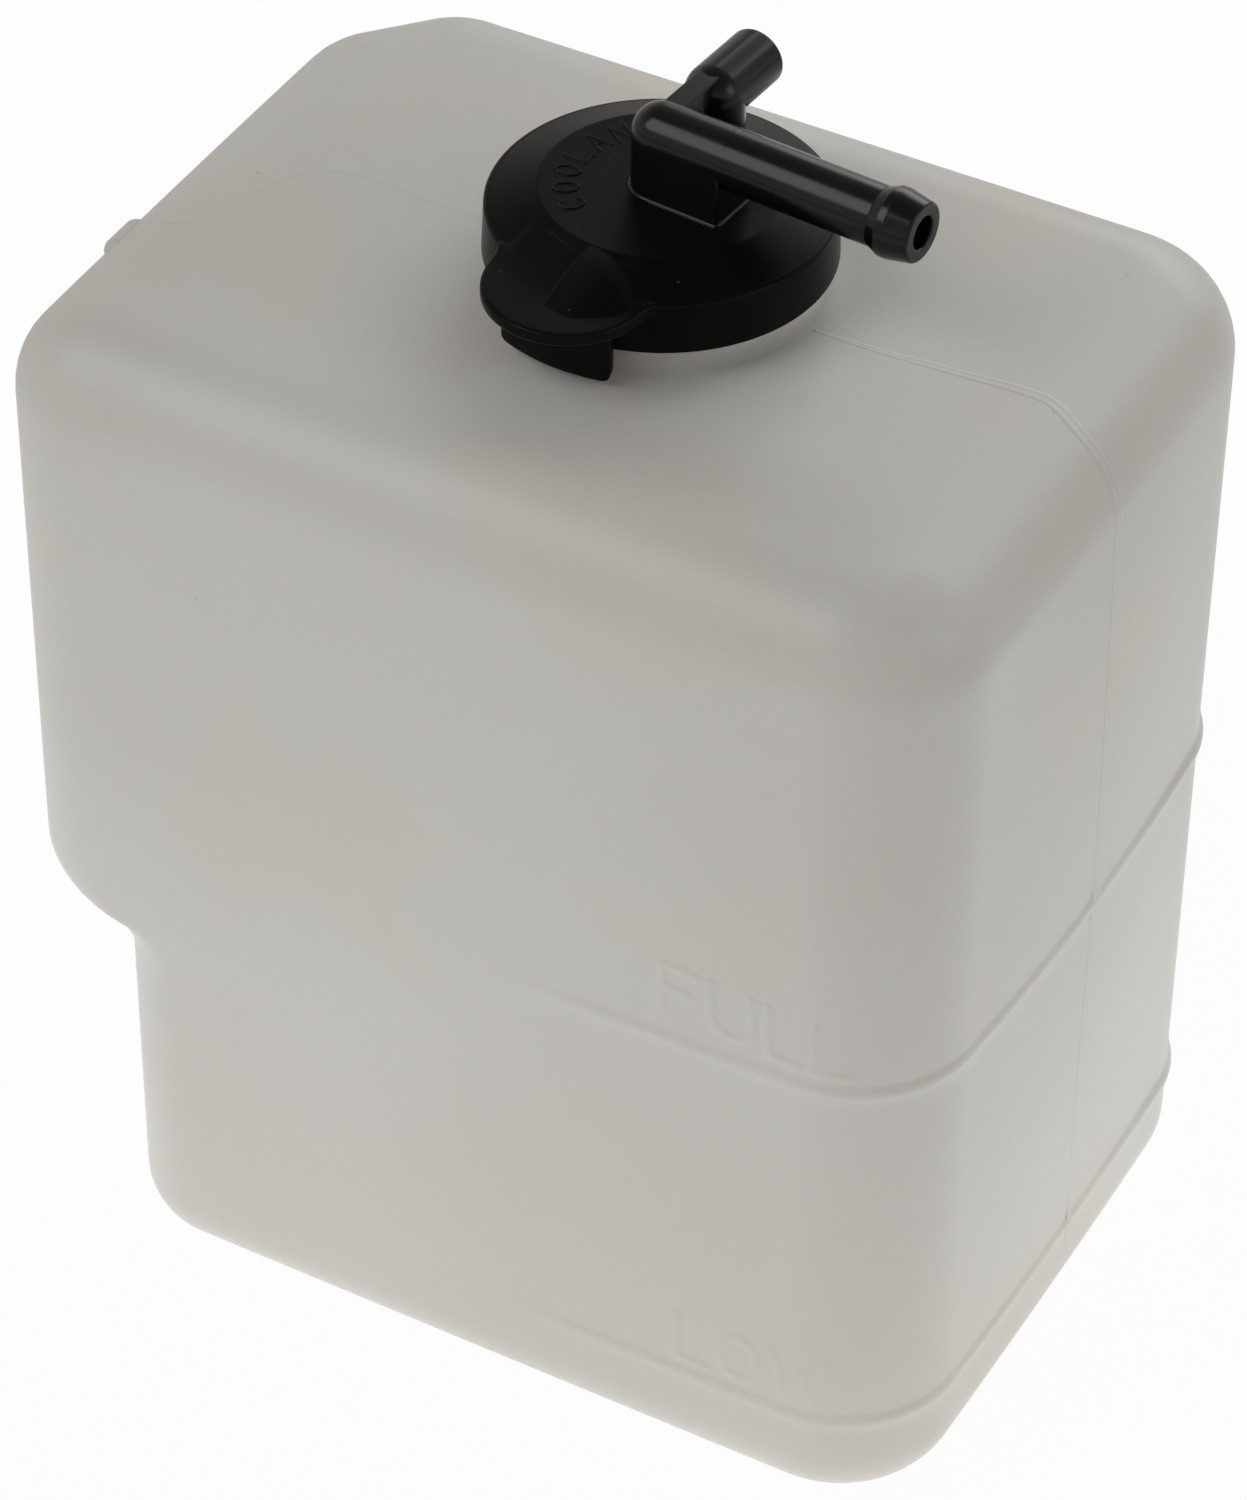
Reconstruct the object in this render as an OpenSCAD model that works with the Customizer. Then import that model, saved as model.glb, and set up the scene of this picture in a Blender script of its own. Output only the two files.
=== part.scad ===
// Coolant expansion tank: a blow-moulded bottle with a stepped left end,
// a black snap cap with two hose nipples and a finger tab, and the dip
// tube that hangs from the cap. Millimetres, Z up. The origin is at the
// middle of the flat base; the front wall faces -Y.

/* [Tank] */
// Width of the tank, left to right
tank_w = 142; // [125:1:180]
// Depth of the tank at its top, front to back
tank_d = 104; // [90:1:140]
// Height of the flat top above the base
tank_h = 162; // [140:1:200]
// Thickness of the blown wall
wall = 2.2; // [1.6:0.1:3]
// Lean of the front and back walls toward the base, in degrees
draft = 0.4; // [0:0.1:1.5]
// Outward bow of the front and back walls at their middle
front_bow = 0.8; // [0:0.1:2]
// Outward bow of the two end walls at their middle
end_bow = 1.3; // [0:0.1:2]

/* [Tank edges] */
// Radius of the upright corner at the front left
front_left_r = 13.5; // [11:0.5:20]
// Radius of the two upright corners on the right
right_r = 18; // [14:0.5:26]
// Width that the slanted back left corner takes off the back wall
slant_w = 15; // [10:1:24]
// Depth that the slanted back left corner takes off the left wall
slant_d = 17; // [10:1:24]
// Radius of the two bends beside the slanted corner
slant_r = 14.5; // [8:0.5:18]
// Radius round the edge of the top
top_edge_r = 13.4; // [8:0.2:16]
// Radius round the edge of the base
bottom_edge_r = 11; // [6:0.5:14]

/* [Step in the left end] */
// How far the lower half is set in from the left
step_in = 13.5; // [8:0.5:20]
// Height at which the left wall starts to turn in
step_z = 71; // [60:1:95]
// Radius of the outer bend of the step
step_outer_r = 8; // [5:0.5:9]
// Radius of the inner bend of the step
step_inner_r = 8; // [4:0.5:9]
// Fall of the shoulder below level, in degrees
step_fall = 10; // [5:1:30]

/* [Level marks] */
// Height of the upper level mark
upper_mark_z = 82.5; // [80:0.5:120]
// Height of the lower level mark
lower_mark_z = 19; // [16:0.5:40]
// Width of a level mark
mark_w = 2; // [1.4:0.1:3]
// Height that a level mark stands out of the wall
mark_out = 0.7; // [0.3:0.1:1]
// Where the marks begin on the front wall, from the middle
mark_from_x = 17; // [5:1:30]

/* [Neck] */
// Distance of the neck's axis to the right of the middle
neck_x = 2.7; // [-10:0.1:10]
// Distance of the neck's axis behind the middle
neck_y = 2.1; // [-8:0.1:8]
// Bore of the neck
neck_bore = 34.4; // [30:0.2:36]
// Wall of the neck
neck_wall = 2.1; // [1.6:0.1:3]
// Height of the neck above the tank's top
neck_h = 10.4; // [8:0.2:14]
// Fillet between the neck and the top
neck_fillet = 3; // [1:0.5:4]
// Height that the snap bead stands out of the neck
bead_out = 1.1; // [0.6:0.1:1.5]

/* [Cap] */
// Turn of the cap on the neck, in degrees
cap_turn = -4.8; // [-180:0.1:180]
// Wall of the cap
cap_wall = 1.8; // [1.4:0.1:2.4]
// Radial room between the neck's bead and the inside of the skirt
skirt_room = 1.55; // [0.6:0.05:2]
// Radial room between the neck's bead and the cap's bead
snap_room = 0.2; // [0.1:0.05:0.5]
// Gap between the neck's rim and the cap's seat
seat_gap = 0.3; // [0.1:0.05:0.5]
// Depth of the skirt below the seat
skirt_h = 5.5; // [4:0.5:8]
// Height that the middle of the cap stands above its rim
crown_h = 2.5; // [1:0.1:4]
// Diameter of the flat middle of the cap
crown_d = 31.8; // [24:0.2:36]
// Depth of the sealing ring inside the neck
ring_h = 3.7; // [2:0.1:6]

/* [Finger tab] */
// Radius of the round tab
tab_r = 11.4; // [8:0.2:14]
// Distance of the tab's centre from the cap's axis
tab_at = 21.9; // [18:0.1:26]
// Thickness of the tab
tab_t = 1.9; // [1.4:0.1:3]
// Outer radius of the lip below the tab
lip_r = 26.4; // [25.6:0.2:30]
// Thickness of the lip
lip_t = 1.8; // [1.2:0.1:2.4]
// Depth of the lip below the tab
lip_h = 8.6; // [4:0.2:9]
// Angle that the lip takes round the cap, in degrees
lip_angle = 38.5; // [20:0.5:50]
// Radius of the thumb pad on the tab
pad_r = 5.6; // [3:0.2:7]
// Height of the thumb pad
pad_h = 2.1; // [1:0.1:3]

/* [Nipples] */
// Outer diameter of both nipples
nipple_d = 8.3; // [6:0.1:10]
// Bore of both nipples
nipple_bore = 4.6; // [3:0.1:6]
// Height of the nipples' axis above the flat middle of the cap
nipple_up = 8.3; // [6:0.1:14]
// Length of the long nipple from the cap's axis
long_reach = 39.8; // [32:0.2:55]
// Distance from the tip of the long nipple to its barb
barb_back = 4.7; // [3:0.1:8]
// Diameter of the barb
barb_d = 9.7; // [8.4:0.1:12]
// Length of the cylindrical land on the barb
barb_land = 1; // [0.6:0.1:2]
// Length of the wall that carries the long nipple
long_wall_l = 11.2; // [6:0.2:14]
// Length of the short nipple from the cap's axis
short_reach = 21.7; // [18:0.2:32]
// Distance of the short nipple's post behind the cap's axis
short_post_at = 11.4; // [9:0.1:12]
// Offset of the short nipple to the right
short_off = 0.7; // [-1:0.1:1.5]
// Thickness of the web between the two posts
web_t = 3.2; // [2:0.1:5]
// Step in radius at the mould's split line, beyond which a hose seats
split_step = 0.2; // [0.16:0.01:0.4]

/* [Dip tube] */
// Outer diameter of the dip tube
dip_d = 9; // [8:0.2:12]
// Bore of the dip tube
dip_bore = 6; // [5:0.1:7]
// Room between the dip tube's bore and its spigot
dip_room = 0.05; // [0.02:0.01:0.2]
// Length of the spigot inside the dip tube
spigot_l = 13; // [8:0.5:20]
// Height of the dip tube's foot above the floor of the tank
dip_foot = 9; // [4:0.5:20]

/* [Hidden] */
$fn = 96;
eps = 0.05;
corner_steps = 6;
edge_steps = 6;
step_steps = 4;
lean = tan(draft);
step_turn = 90 - step_fall;

// Neck and cap heights and radii, each worked out from the one below it
neck_in_r = neck_bore / 2;
neck_out_r = neck_in_r + neck_wall;
bead_r = neck_out_r + bead_out;
rim_z = tank_h + neck_h;
seat_z = rim_z + seat_gap;
cap_edge_z = seat_z + cap_wall + 0.2;
crown_z = cap_edge_z + crown_h;
skirt_in_r = bead_r + skirt_room;
skirt_out_r = skirt_in_r + cap_wall;
skirt_z = seat_z - skirt_h;
snap_r = bead_r + snap_room;
nipple_z = crown_z + nipple_up;
nipple_r = nipple_d / 2;
elbow_r = nipple_r - split_step;
bore_r = nipple_bore / 2;
spigot_r = dip_bore / 2 - dip_room;
spigot_bore_r = bore_r - 0.3;
under_crown_z = crown_z - cap_wall - 0.2;
tab_z = cap_edge_z - 0.35;

// Profile of the left wall: how far it has turned in at height z. The
// wall comes straight down, turns in round an outer bend, falls along the
// shoulder and turns down again round an inner bend. The inner skin
// follows the same path, one wall thickness w inside.
function step_rise(w) = (step_outer_r - w + step_inner_r + w) * (1 - cos(step_turn));
function shoulder_run() = max(step_in - step_rise(0), 0.2);
function shoulder_drop() = shoulder_run() / tan(step_turn);
function outer_drop(w) = (step_outer_r - w) * sin(step_turn);
function inner_drop(w) = (step_inner_r + w) * sin(step_turn);
function bend(r, u) = r - sqrt(max(r * r - u * u, 0));
function step_x(z, w) =
    let (
        u = step_z - z,
        r1 = step_outer_r - w,
        r2 = step_inner_r + w,
        u1 = outer_drop(w),
        u2 = u1 + shoulder_drop(),
        u3 = u2 + inner_drop(w),
        x1 = bend(r1, u1),
        x2 = x1 + shoulder_run(),
        x3 = x2 + bend(r2, u3 - u2)
    )
    u <= 0 ? 0
    : u < u1 ? bend(r1, u)
    : u < u2 ? x1 + (u - u1) * tan(step_turn)
    : u < u3 ? x3 - bend(r2, u3 - u)
    : x3;

// How far the skin at depth w lies inside the upright walls at height z:
// w itself, and more where the top and bottom edges round over
function edge_in(z, w) =
    z > tank_h - top_edge_r
    ? top_edge_r - sqrt(max(pow(top_edge_r - w, 2) - pow(z - tank_h + top_edge_r, 2), 0))
    : z < bottom_edge_r
    ? bottom_edge_r - sqrt(max(pow(bottom_edge_r - w, 2) - pow(bottom_edge_r - z, 2), 0))
    : w;

// The five corners of the tank seen from above, counter-clockwise
function plan(z, w) =
    let (
        dy = (tank_h - z) * lean,
        xl = -tank_w / 2 + step_x(z, w),
        xr = tank_w / 2,
        yf = -tank_d / 2 + dy,
        yb = tank_d / 2 - dy
    )
    [[xl, yf], [xr, yf], [xr, yb], [xl + slant_w, yb], [xl, yb - slant_d]];
corner_r = [front_left_r, right_r, right_r, slant_r, slant_r];

// Bow of each wall, in the order of the plan's walls
wall_bow = [front_bow, end_bow, front_bow, 0, end_bow];

// Where each wall has points between its corners, as shares of its length
flat_w = tank_w - front_left_r - right_r;
mark_share = (mark_from_x + tank_w / 2 - front_left_r) / flat_w;
wall_stops = [
    [0.14, 0.32, 0.48, mark_share - 0.025, mark_share, mark_share + 0.14, 0.88],
    [0.2, 0.4, 0.6, 0.8],
    [0.14, 0.16, 0.36, 0.5, 0.66, 0.84],
    [],
    [0.2, 0.4, 0.6, 0.8]
];

// How far a level mark stands out at height z and place p
function mark_shape(u) = abs(u) >= 1 ? 0 : sqrt(1 - u * u);
function has_mark(p) = p[1] < 0 ? (p[0] > mark_from_x - 0.5) : (p[0] > tank_w / 2 - right_r - 16);
function mark_at(z, p) =
    has_mark(p)
    ? mark_out * (mark_shape(2 * (z - upper_mark_z) / mark_w) + mark_shape(2 * (z - lower_mark_z) / mark_w))
    : 0;

function unit(v) = v / norm(v);
function right_of(v) = [v[1], -v[0]];

// One level ring of the skin at depth w, with rounded corners and bowed walls
function ring(z, w, marks) =
    let (
        c = plan(z, w),
        n = len(c),
        d = edge_in(z, w),
        out = [for (i = [0 : n - 1]) right_of(unit(c[(i + 1) % n] - c[i]))],
        miter = [for (i = [0 : n - 1]) (out[(i + n - 1) % n] + out[i]) / (1 + out[(i + n - 1) % n] * out[i])],
        v = [for (i = [0 : n - 1]) c[i] - miter[i] * d],
        r = [for (i = [0 : n - 1]) max(corner_r[i] - d, 0.3)],
        mid = [for (i = [0 : n - 1]) v[i] - miter[i] * r[i]],
        height = 4 * (z / tank_h) * (1 - z / tank_h)
    )
    [for (i = [0 : n - 1])
        let (
            a = out[(i + n - 1) % n],
            b = out[i],
            start = atan2(a[1], a[0]),
            sweep = acos(a * b),
            p = mid[i] + b * r[i],
            q = mid[(i + 1) % n] + b * r[(i + 1) % n]
        )
        each concat(
            [for (k = [0 : corner_steps])
                let (
                    t = start + sweep * k / corner_steps,
                    e = [cos(t), sin(t)],
                    s = mid[i] + e * r[i]
                )
                concat(s + e * (marks ? mark_at(z, s) : 0), z)],
            [for (f = wall_stops[i])
                let (s = p + (q - p) * f)
                concat(s + b * (wall_bow[i] * height * 4 * f * (1 - f) + (marks ? mark_at(z, s) : 0)), z)]
        )
    ];

// Heights of the rings: the two rounded edges, the step and the marks
function arc_heights(r, w, from) = [for (k = [0 : edge_steps]) from + (r - w) * sin(90 * k / edge_steps)];
function base_rows(w) = [for (k = [0 : edge_steps]) bottom_edge_r - (bottom_edge_r - w) * cos(90 * k / edge_steps)];
function top_rows(w) = arc_heights(top_edge_r, w, tank_h - top_edge_r);
function mark_rows(z) = [for (s = [-1, -0.7, 0, 0.7, 1]) z + s * mark_w / 2];
function step_rows(w) =
    let (
        z1 = step_z - outer_drop(w),
        z2 = z1 - shoulder_drop(),
        z3 = z2 - inner_drop(w)
    )
    concat(
        [for (k = [step_steps : -1 : 1]) z2 - (step_inner_r + w) * (sin(step_turn) - sin(step_turn * (step_steps - k) / step_steps))],
        [z2],
        [for (k = [step_steps : -1 : 0]) step_z - (step_outer_r - w) * sin(step_turn * k / step_steps)]
    );

function sorted(rows) =
    len(rows) <= 1 ? rows
    : let (
        pivot = rows[floor(len(rows) / 2)],
        low = [for (x = rows) if (x < pivot - 0.02) x],
        high = [for (x = rows) if (x > pivot + 0.02) x]
    )
    concat(sorted(low), [pivot], sorted(high));

function outer_rows() =
    sorted(concat(base_rows(0), step_rows(0), top_rows(0), mark_rows(upper_mark_z), mark_rows(lower_mark_z),
        [step_z / 2, (upper_mark_z + tank_h - top_edge_r) / 2, 0.25 * upper_mark_z + 0.75 * (tank_h - top_edge_r)]));
function inner_rows() =
    sorted(concat(base_rows(wall), step_rows(wall), top_rows(wall), [step_z / 2, (step_z + tank_h - top_edge_r) / 2]));

// A closed skin through level rings
module skin(rows, w, marks) {
    rings = [for (z = rows) ring(z, w, marks)];
    n = len(rings[0]);
    m = len(rings);
    points = [for (a = rings) each a];
    sides = [for (j = [0 : m - 2]) for (i = [0 : n - 1])
        let (
            a = j * n + i,
            b = j * n + (i + 1) % n
        )
        each [[a, a + n, b + n], [a, b + n, b]]];
    base = [for (i = [0 : n - 1]) [n * m, i, (i + 1) % n]];
    top = [for (i = [0 : n - 1]) [n * m + 1, (m - 1) * n + (i + 1) % n, (m - 1) * n + i]];
    hubs = [[0, 0, rows[0]], [0, 0, rows[m - 1]]];
    polyhedron(concat(points, hubs), concat(sides, base, top), convexity = 6);
}

module at_neck() {
    translate([neck_x, neck_y, 0])
        children();
}

// Neck above the tank's top, with a fillet at its foot and a snap bead
module neck_outside() {
    fillet = [for (k = [0 : 6])
        [neck_out_r + neck_fillet * (1 - sin(15 * k)), tank_h + neck_fillet * (1 - cos(15 * k))]];
    bead_z = rim_z - 3;
    at_neck()
        rotate_extrude()
            polygon(concat(
                [[0, tank_h - wall], [neck_out_r + neck_fillet, tank_h - wall]],
                fillet,
                [[neck_out_r, bead_z], [bead_r, bead_z + 0.9], [bead_r, bead_z + 1.5], [neck_out_r, rim_z - 0.4],
                    [neck_out_r - 0.4, rim_z], [0, rim_z]]
            ));
}

module tank() {
    color([0.80, 0.79, 0.75])
        difference() {
            union() {
                skin(outer_rows(), 0, true);
                neck_outside();
            }
            skin(inner_rows(), wall, false);
            at_neck()
                translate([0, 0, tank_h - 2 * wall])
                    cylinder(r = neck_in_r, h = neck_h + 3 * wall);
        }
}

// Cap shell turned about its axis: crown, sloped shoulder, skirt with its
// inner bead, and the sealing ring that goes into the neck
module cap_shell() {
    crown_r = crown_d / 2;
    ring_out_r = neck_in_r - 0.5;
    ring_in_r = ring_out_r - 1.5;
    snap_z = skirt_z + 1.6;
    rotate_extrude()
        polygon([
            [0, under_crown_z],
            [ring_in_r - 1.5, under_crown_z],
            [ring_in_r, seat_z],
            [ring_in_r, rim_z - ring_h],
            [ring_out_r - 0.5, rim_z - ring_h],
            [ring_out_r, rim_z - ring_h + 1],
            [ring_out_r, seat_z],
            [skirt_in_r, seat_z],
            [skirt_in_r, snap_z],
            [snap_r, snap_z - 0.6],
            [snap_r, snap_z - 1],
            [skirt_in_r, skirt_z],
            [skirt_out_r, skirt_z],
            [skirt_out_r - 0.3, cap_edge_z - 0.9],
            [skirt_out_r - 0.55, cap_edge_z - 0.3],
            [skirt_out_r - 1.2, cap_edge_z],
            [crown_r + 1, crown_z - 0.25],
            [crown_r, crown_z],
            [0, crown_z]
        ]);
}

// Flat tab that grows out of the rim, with filleted roots
module tab_plate() {
    root = 2.2;
    translate([0, 0, tab_z - tab_t])
        linear_extrude(tab_t)
            difference() {
                offset(r = -root)
                    offset(delta = root)
                        union() {
                            circle(r = skirt_out_r - 0.6);
                            translate([0, -tab_at])
                                circle(r = tab_r);
                        }
                circle(r = skirt_in_r + cap_wall / 2);
            }
}

// Lip that hangs below the tab, concentric with the skirt
module tab_lip() {
    rotate([0, 0, -90 - lip_angle / 2])
        rotate_extrude(angle = lip_angle)
            translate([lip_r - lip_t, tab_z - tab_t - lip_h])
                square([lip_t, lip_h + tab_t / 2]);
}

// Thumb pad: half of a low dome, with its straight edge along the tab
module thumb_pad() {
    ball_r = (pad_r * pad_r + pad_h * pad_h) / (2 * pad_h);
    translate([0, -tab_at - 1.8, tab_z - eps])
        intersection() {
            translate([0.4, 0, pad_h - ball_r])
                sphere(r = ball_r);
            translate([0, -pad_r, 0])
                cube([2 * pad_r, 2 * pad_r, pad_h + 1]);
        }
}

// A nipple's barrel from the origin along +X: a ball at the elbow, and a
// bar that is a little thicker from the mould's split line to the tip
module barrel(split, l) {
    sphere(r = elbow_r);
    rotate([0, 90, 0])
        cylinder(r = elbow_r, h = split + eps);
    translate([split, 0, 0])
        rotate([0, 90, 0])
            cylinder(r = nipple_r, h = l - split);
}

// Upright post on the crown, up to the nipples' axis
module post() {
    translate([0, 0, under_crown_z + eps])
        cylinder(r = elbow_r - 0.1, h = nipple_z - under_crown_z - eps);
}

module long_nipple() {
    land_at = long_reach - barb_back;
    post();
    translate([0, 0.15 - elbow_r, crown_z - 0.5])
        cube([long_wall_l, 2 * elbow_r - 0.3, nipple_z - crown_z + 0.5]);
    translate([0, 0, nipple_z]) {
        barrel(long_wall_l - 0.4, long_reach);
        translate([land_at - 1.2, 0, 0])
            rotate([0, 90, 0])
                cylinder(r1 = nipple_r, r2 = barb_d / 2, h = 1.2);
        translate([land_at, 0, 0])
            rotate([0, 90, 0])
                cylinder(d = barb_d, h = barb_land);
        translate([land_at + barb_land, 0, 0])
            rotate([0, 90, 0])
                cylinder(r1 = barb_d / 2, r2 = nipple_r, h = barb_back - barb_land);
    }
}

module short_nipple() {
    translate([short_off, short_post_at, 0]) {
        post();
        translate([0, 0, nipple_z])
            rotate([0, 0, 90])
                barrel(nipple_r + 0.2, short_reach - short_post_at);
    }
    translate([short_off + 0.5 - web_t / 2, 0, crown_z - 0.5])
        cube([web_t, short_post_at, nipple_z + nipple_r - 0.4 - crown_z + 0.5]);
}

module cap_bores() {
    translate([0, 0, nipple_z])
        rotate([0, 90, 0])
            cylinder(r = bore_r, h = long_reach + 1);
    translate([0, 0, under_crown_z - spigot_l - 1])
        cylinder(r = spigot_bore_r, h = nipple_z - under_crown_z + spigot_l + 1);
    translate([short_off, short_post_at, nipple_z])
        rotate([-90, 0, 0])
            cylinder(r = bore_r, h = short_reach - short_post_at + 1);
    translate([short_off, short_post_at, under_crown_z - 1])
        cylinder(r = spigot_bore_r, h = nipple_z - under_crown_z + 1);
}

module spigot() {
    translate([0, 0, under_crown_z - spigot_l])
        cylinder(r = spigot_r, h = spigot_l + eps);
}

module cap() {
    color([0.09, 0.09, 0.09])
        at_neck()
            rotate([0, 0, cap_turn])
                difference() {
                    union() {
                        cap_shell();
                        tab_plate();
                        tab_lip();
                        thumb_pad();
                        long_nipple();
                        short_nipple();
                        spigot();
                    }
                    cap_bores();
                }
}

module dip_tube() {
    dip_top_z = under_crown_z;
    dip_bottom_z = wall + dip_foot;
    color([0.16, 0.16, 0.17])
        at_neck()
            translate([0, 0, dip_bottom_z])
                difference() {
                    cylinder(d = dip_d, h = dip_top_z - dip_bottom_z);
                    translate([0, 0, -1])
                        cylinder(d = dip_bore, h = dip_top_z - dip_bottom_z + 2);
                }
}

tank();
cap();
dip_tube();
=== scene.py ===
# %% [markdown]
# # A coolant expansion tank
# The object is a bottle blown from milky plastic, with a black snap cap.
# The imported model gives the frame: its sizes, its bodies and the joint by
# which the cap comes off. Each visible surface is then worked out again
# here, finely enough for a close look, and takes the place of the plain
# solid. All numbers below are millimetres until a mesh is made.

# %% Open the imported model
import math

import bpy
import numpy as np
from mathutils import Matrix
from mathutils.bvhtree import BVHTree


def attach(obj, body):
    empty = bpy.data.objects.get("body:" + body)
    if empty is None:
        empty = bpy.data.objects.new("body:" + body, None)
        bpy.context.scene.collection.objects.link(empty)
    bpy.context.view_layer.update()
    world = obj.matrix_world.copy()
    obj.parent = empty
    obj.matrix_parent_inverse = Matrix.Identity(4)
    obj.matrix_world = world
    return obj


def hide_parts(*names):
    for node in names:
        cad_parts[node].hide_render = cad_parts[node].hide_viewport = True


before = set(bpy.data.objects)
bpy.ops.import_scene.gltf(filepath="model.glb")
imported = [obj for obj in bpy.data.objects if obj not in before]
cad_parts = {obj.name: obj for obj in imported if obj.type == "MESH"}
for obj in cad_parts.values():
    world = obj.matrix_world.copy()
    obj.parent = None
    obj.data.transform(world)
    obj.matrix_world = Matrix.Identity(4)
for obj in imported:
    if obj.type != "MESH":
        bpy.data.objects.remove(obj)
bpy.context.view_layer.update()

# %% [markdown]
# ## The camera
# The picture this scene is set against was taken from the front right and
# well above, with a long lens. The place and the turn of the camera were
# worked out from the straight edges of the bottle. A small shift stands
# for the off-centre crop.

# %% Set up the camera
CAMERA_AT = (308.27, -569.35, 637.35)
CAMERA_AZIMUTH, CAMERA_ELEVATION, CAMERA_ROLL = 29.0, 40.68, -0.37
LENS_MM = 145.0
SHIFT = (0.0266, -0.0042)


def camera_axes(azimuth, elevation, roll):
    """Right, up and back directions of a camera, as the columns of a matrix."""
    a, e, r = np.radians([azimuth, elevation, roll])
    back = np.array([np.sin(a) * np.cos(e), -np.cos(a) * np.cos(e), np.sin(e)])
    right = np.array([np.cos(a), np.sin(a), 0.0])
    up = np.cross(back, right)
    turned_right = np.cos(r) * right - np.sin(r) * up
    turned_up = np.sin(r) * right + np.cos(r) * up
    return np.stack([turned_right, turned_up, back], axis=1)


camera_pose = np.eye(4)
camera_pose[:3, :3] = camera_axes(CAMERA_AZIMUTH, CAMERA_ELEVATION, CAMERA_ROLL)
camera_pose[:3, 3] = np.array(CAMERA_AT) / 1000
camera = bpy.data.objects.new("camera", bpy.data.cameras.new("camera"))
camera.data.lens, camera.data.sensor_width = LENS_MM, 36.0
camera.data.shift_x, camera.data.shift_y = SHIFT
camera.matrix_world = Matrix(camera_pose.tolist())
bpy.context.scene.collection.objects.link(camera)
bpy.context.scene.camera = camera

# %% [markdown]
# ## Light, floor and background
# The bottle stands on a small light table, so its walls grow lighter
# toward the foot while its top stays darker and a little warmer. A pale
# world fills in from all round, and three lamps draw the highlights on
# the cap and lift the right wall. The far floor and the world are white
# for the camera only, which adds no light of its own to the object.

# %% Make the lamps and the world
bpy.context.scene.view_settings.view_transform = "Standard"


def soft_lamp(name, at, aim, width, height, watts):
    """A rectangular lamp at one point, turned so that it faces another."""
    lamp = bpy.data.objects.new(name, bpy.data.lights.new(name, "AREA"))
    lamp.data.shape, lamp.data.size, lamp.data.size_y = "RECTANGLE", width, height
    lamp.data.energy = watts
    back = np.array(at, float) - np.array(aim, float)
    back /= np.linalg.norm(back)
    right = np.cross([0, 0, 1], back)
    right /= np.linalg.norm(right)
    pose = np.eye(4)
    pose[:3, :3] = np.stack([right, np.cross(back, right), back], axis=1)
    pose[:3, 3] = at
    lamp.matrix_world = Matrix(pose.tolist())
    bpy.context.scene.collection.objects.link(lamp)


soft_lamp("lamp_behind", (0.12, 1.1, 0.75), (0, 0, 0.15), 1.2, 0.6, 6.5)
soft_lamp("lamp_above", (-0.54, -0.69, 1.01), (0, 0, 0.15), 0.75, 0.75, 5.6)
soft_lamp("lamp_right", (1.2, 0.1, 0.7), (0, 0, 0.16), 0.6, 0.6, 1.9)


def node_tree(owner):
    """An empty node tree of a world or a material."""
    owner.use_nodes = True
    owner.node_tree.nodes.clear()
    return owner.node_tree.nodes, owner.node_tree.links


def range_node(nodes, *values):
    """A Map Range node, from one pair of values to another."""
    node = nodes.new("ShaderNodeMapRange")
    for label, value in zip(("From Min", "From Max", "To Min", "To Max"), values):
        node.inputs[label].default_value = value
    return node


def unlike_for_camera(nodes, links, lit, seen):
    """One shader for light that meets a surface, another for the camera."""
    ray = nodes.new("ShaderNodeLightPath")
    pick = nodes.new("ShaderNodeMixShader")
    links.new(ray.outputs["Is Camera Ray"], pick.inputs["Fac"])
    links.new(lit.outputs[0], pick.inputs[1])
    links.new(seen.outputs[0], pick.inputs[2])
    return pick.outputs[0]


SKY_LEVEL, SKY_ABOVE, SKY_TINT = 0.84, 0.17, (1.0, 0.975, 0.93, 1)
world = bpy.data.worlds.new("pale_world")
bpy.context.scene.world = world
nodes, links = node_tree(world)
sky_light = nodes.new("ShaderNodeBackground")
sky_light.inputs["Color"].default_value = SKY_TINT
look = nodes.new("ShaderNodeTexCoord")
height = nodes.new("ShaderNodeSeparateXYZ")
darker_above = range_node(nodes, 0, 1, SKY_LEVEL, SKY_ABOVE)
links.new(look.outputs["Generated"], height.inputs[0])
links.new(height.outputs["Z"], darker_above.inputs["Value"])
links.new(darker_above.outputs["Result"], sky_light.inputs["Strength"])
sky_seen = nodes.new("ShaderNodeBackground")
sky_seen.inputs["Color"].default_value = (1, 1, 1, 1)
sky_seen.inputs["Strength"].default_value = 1.0
world_out = nodes.new("ShaderNodeOutputWorld")
links.new(unlike_for_camera(nodes, links, sky_light, sky_seen), world_out.inputs["Surface"])

# %% Lay the floor
# The table's glow fades from full at TABLE_NEAR to nothing at TABLE_FAR,
# measured in metres from the middle. The camera sees SEEN_WHITE parts of
# white and the rest of the floor's own shade, which keeps its shadow.
TABLE_NEAR, TABLE_FAR, TABLE_GLOW, SEEN_WHITE = 0.12, 0.34, 0.80, 0.95
FLOOR_HALF = 4.0
floor_paint = bpy.data.materials.new("floor_paint")
floor_paint.cycles.emission_sampling = "NONE"
nodes, links = node_tree(floor_paint)
floor_matte = nodes.new("ShaderNodeBsdfDiffuse")
floor_matte.inputs["Color"].default_value = (0.86, 0.86, 0.86, 1)
table = nodes.new("ShaderNodeEmission")
place = nodes.new("ShaderNodeTexCoord")
reach = nodes.new("ShaderNodeVectorMath")
reach.operation = "LENGTH"
fade = range_node(nodes, TABLE_NEAR, TABLE_FAR, TABLE_GLOW, 0)
fade.interpolation_type = "SMOOTHSTEP"
links.new(place.outputs["Object"], reach.inputs[0])
links.new(reach.outputs["Value"], fade.inputs["Value"])
links.new(fade.outputs["Result"], table.inputs["Strength"])
lit_floor = nodes.new("ShaderNodeAddShader")
links.new(floor_matte.outputs[0], lit_floor.inputs[0])
links.new(table.outputs[0], lit_floor.inputs[1])
seen = nodes.new("ShaderNodeEmission")
dimmed = nodes.new("ShaderNodeMixShader")
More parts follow.
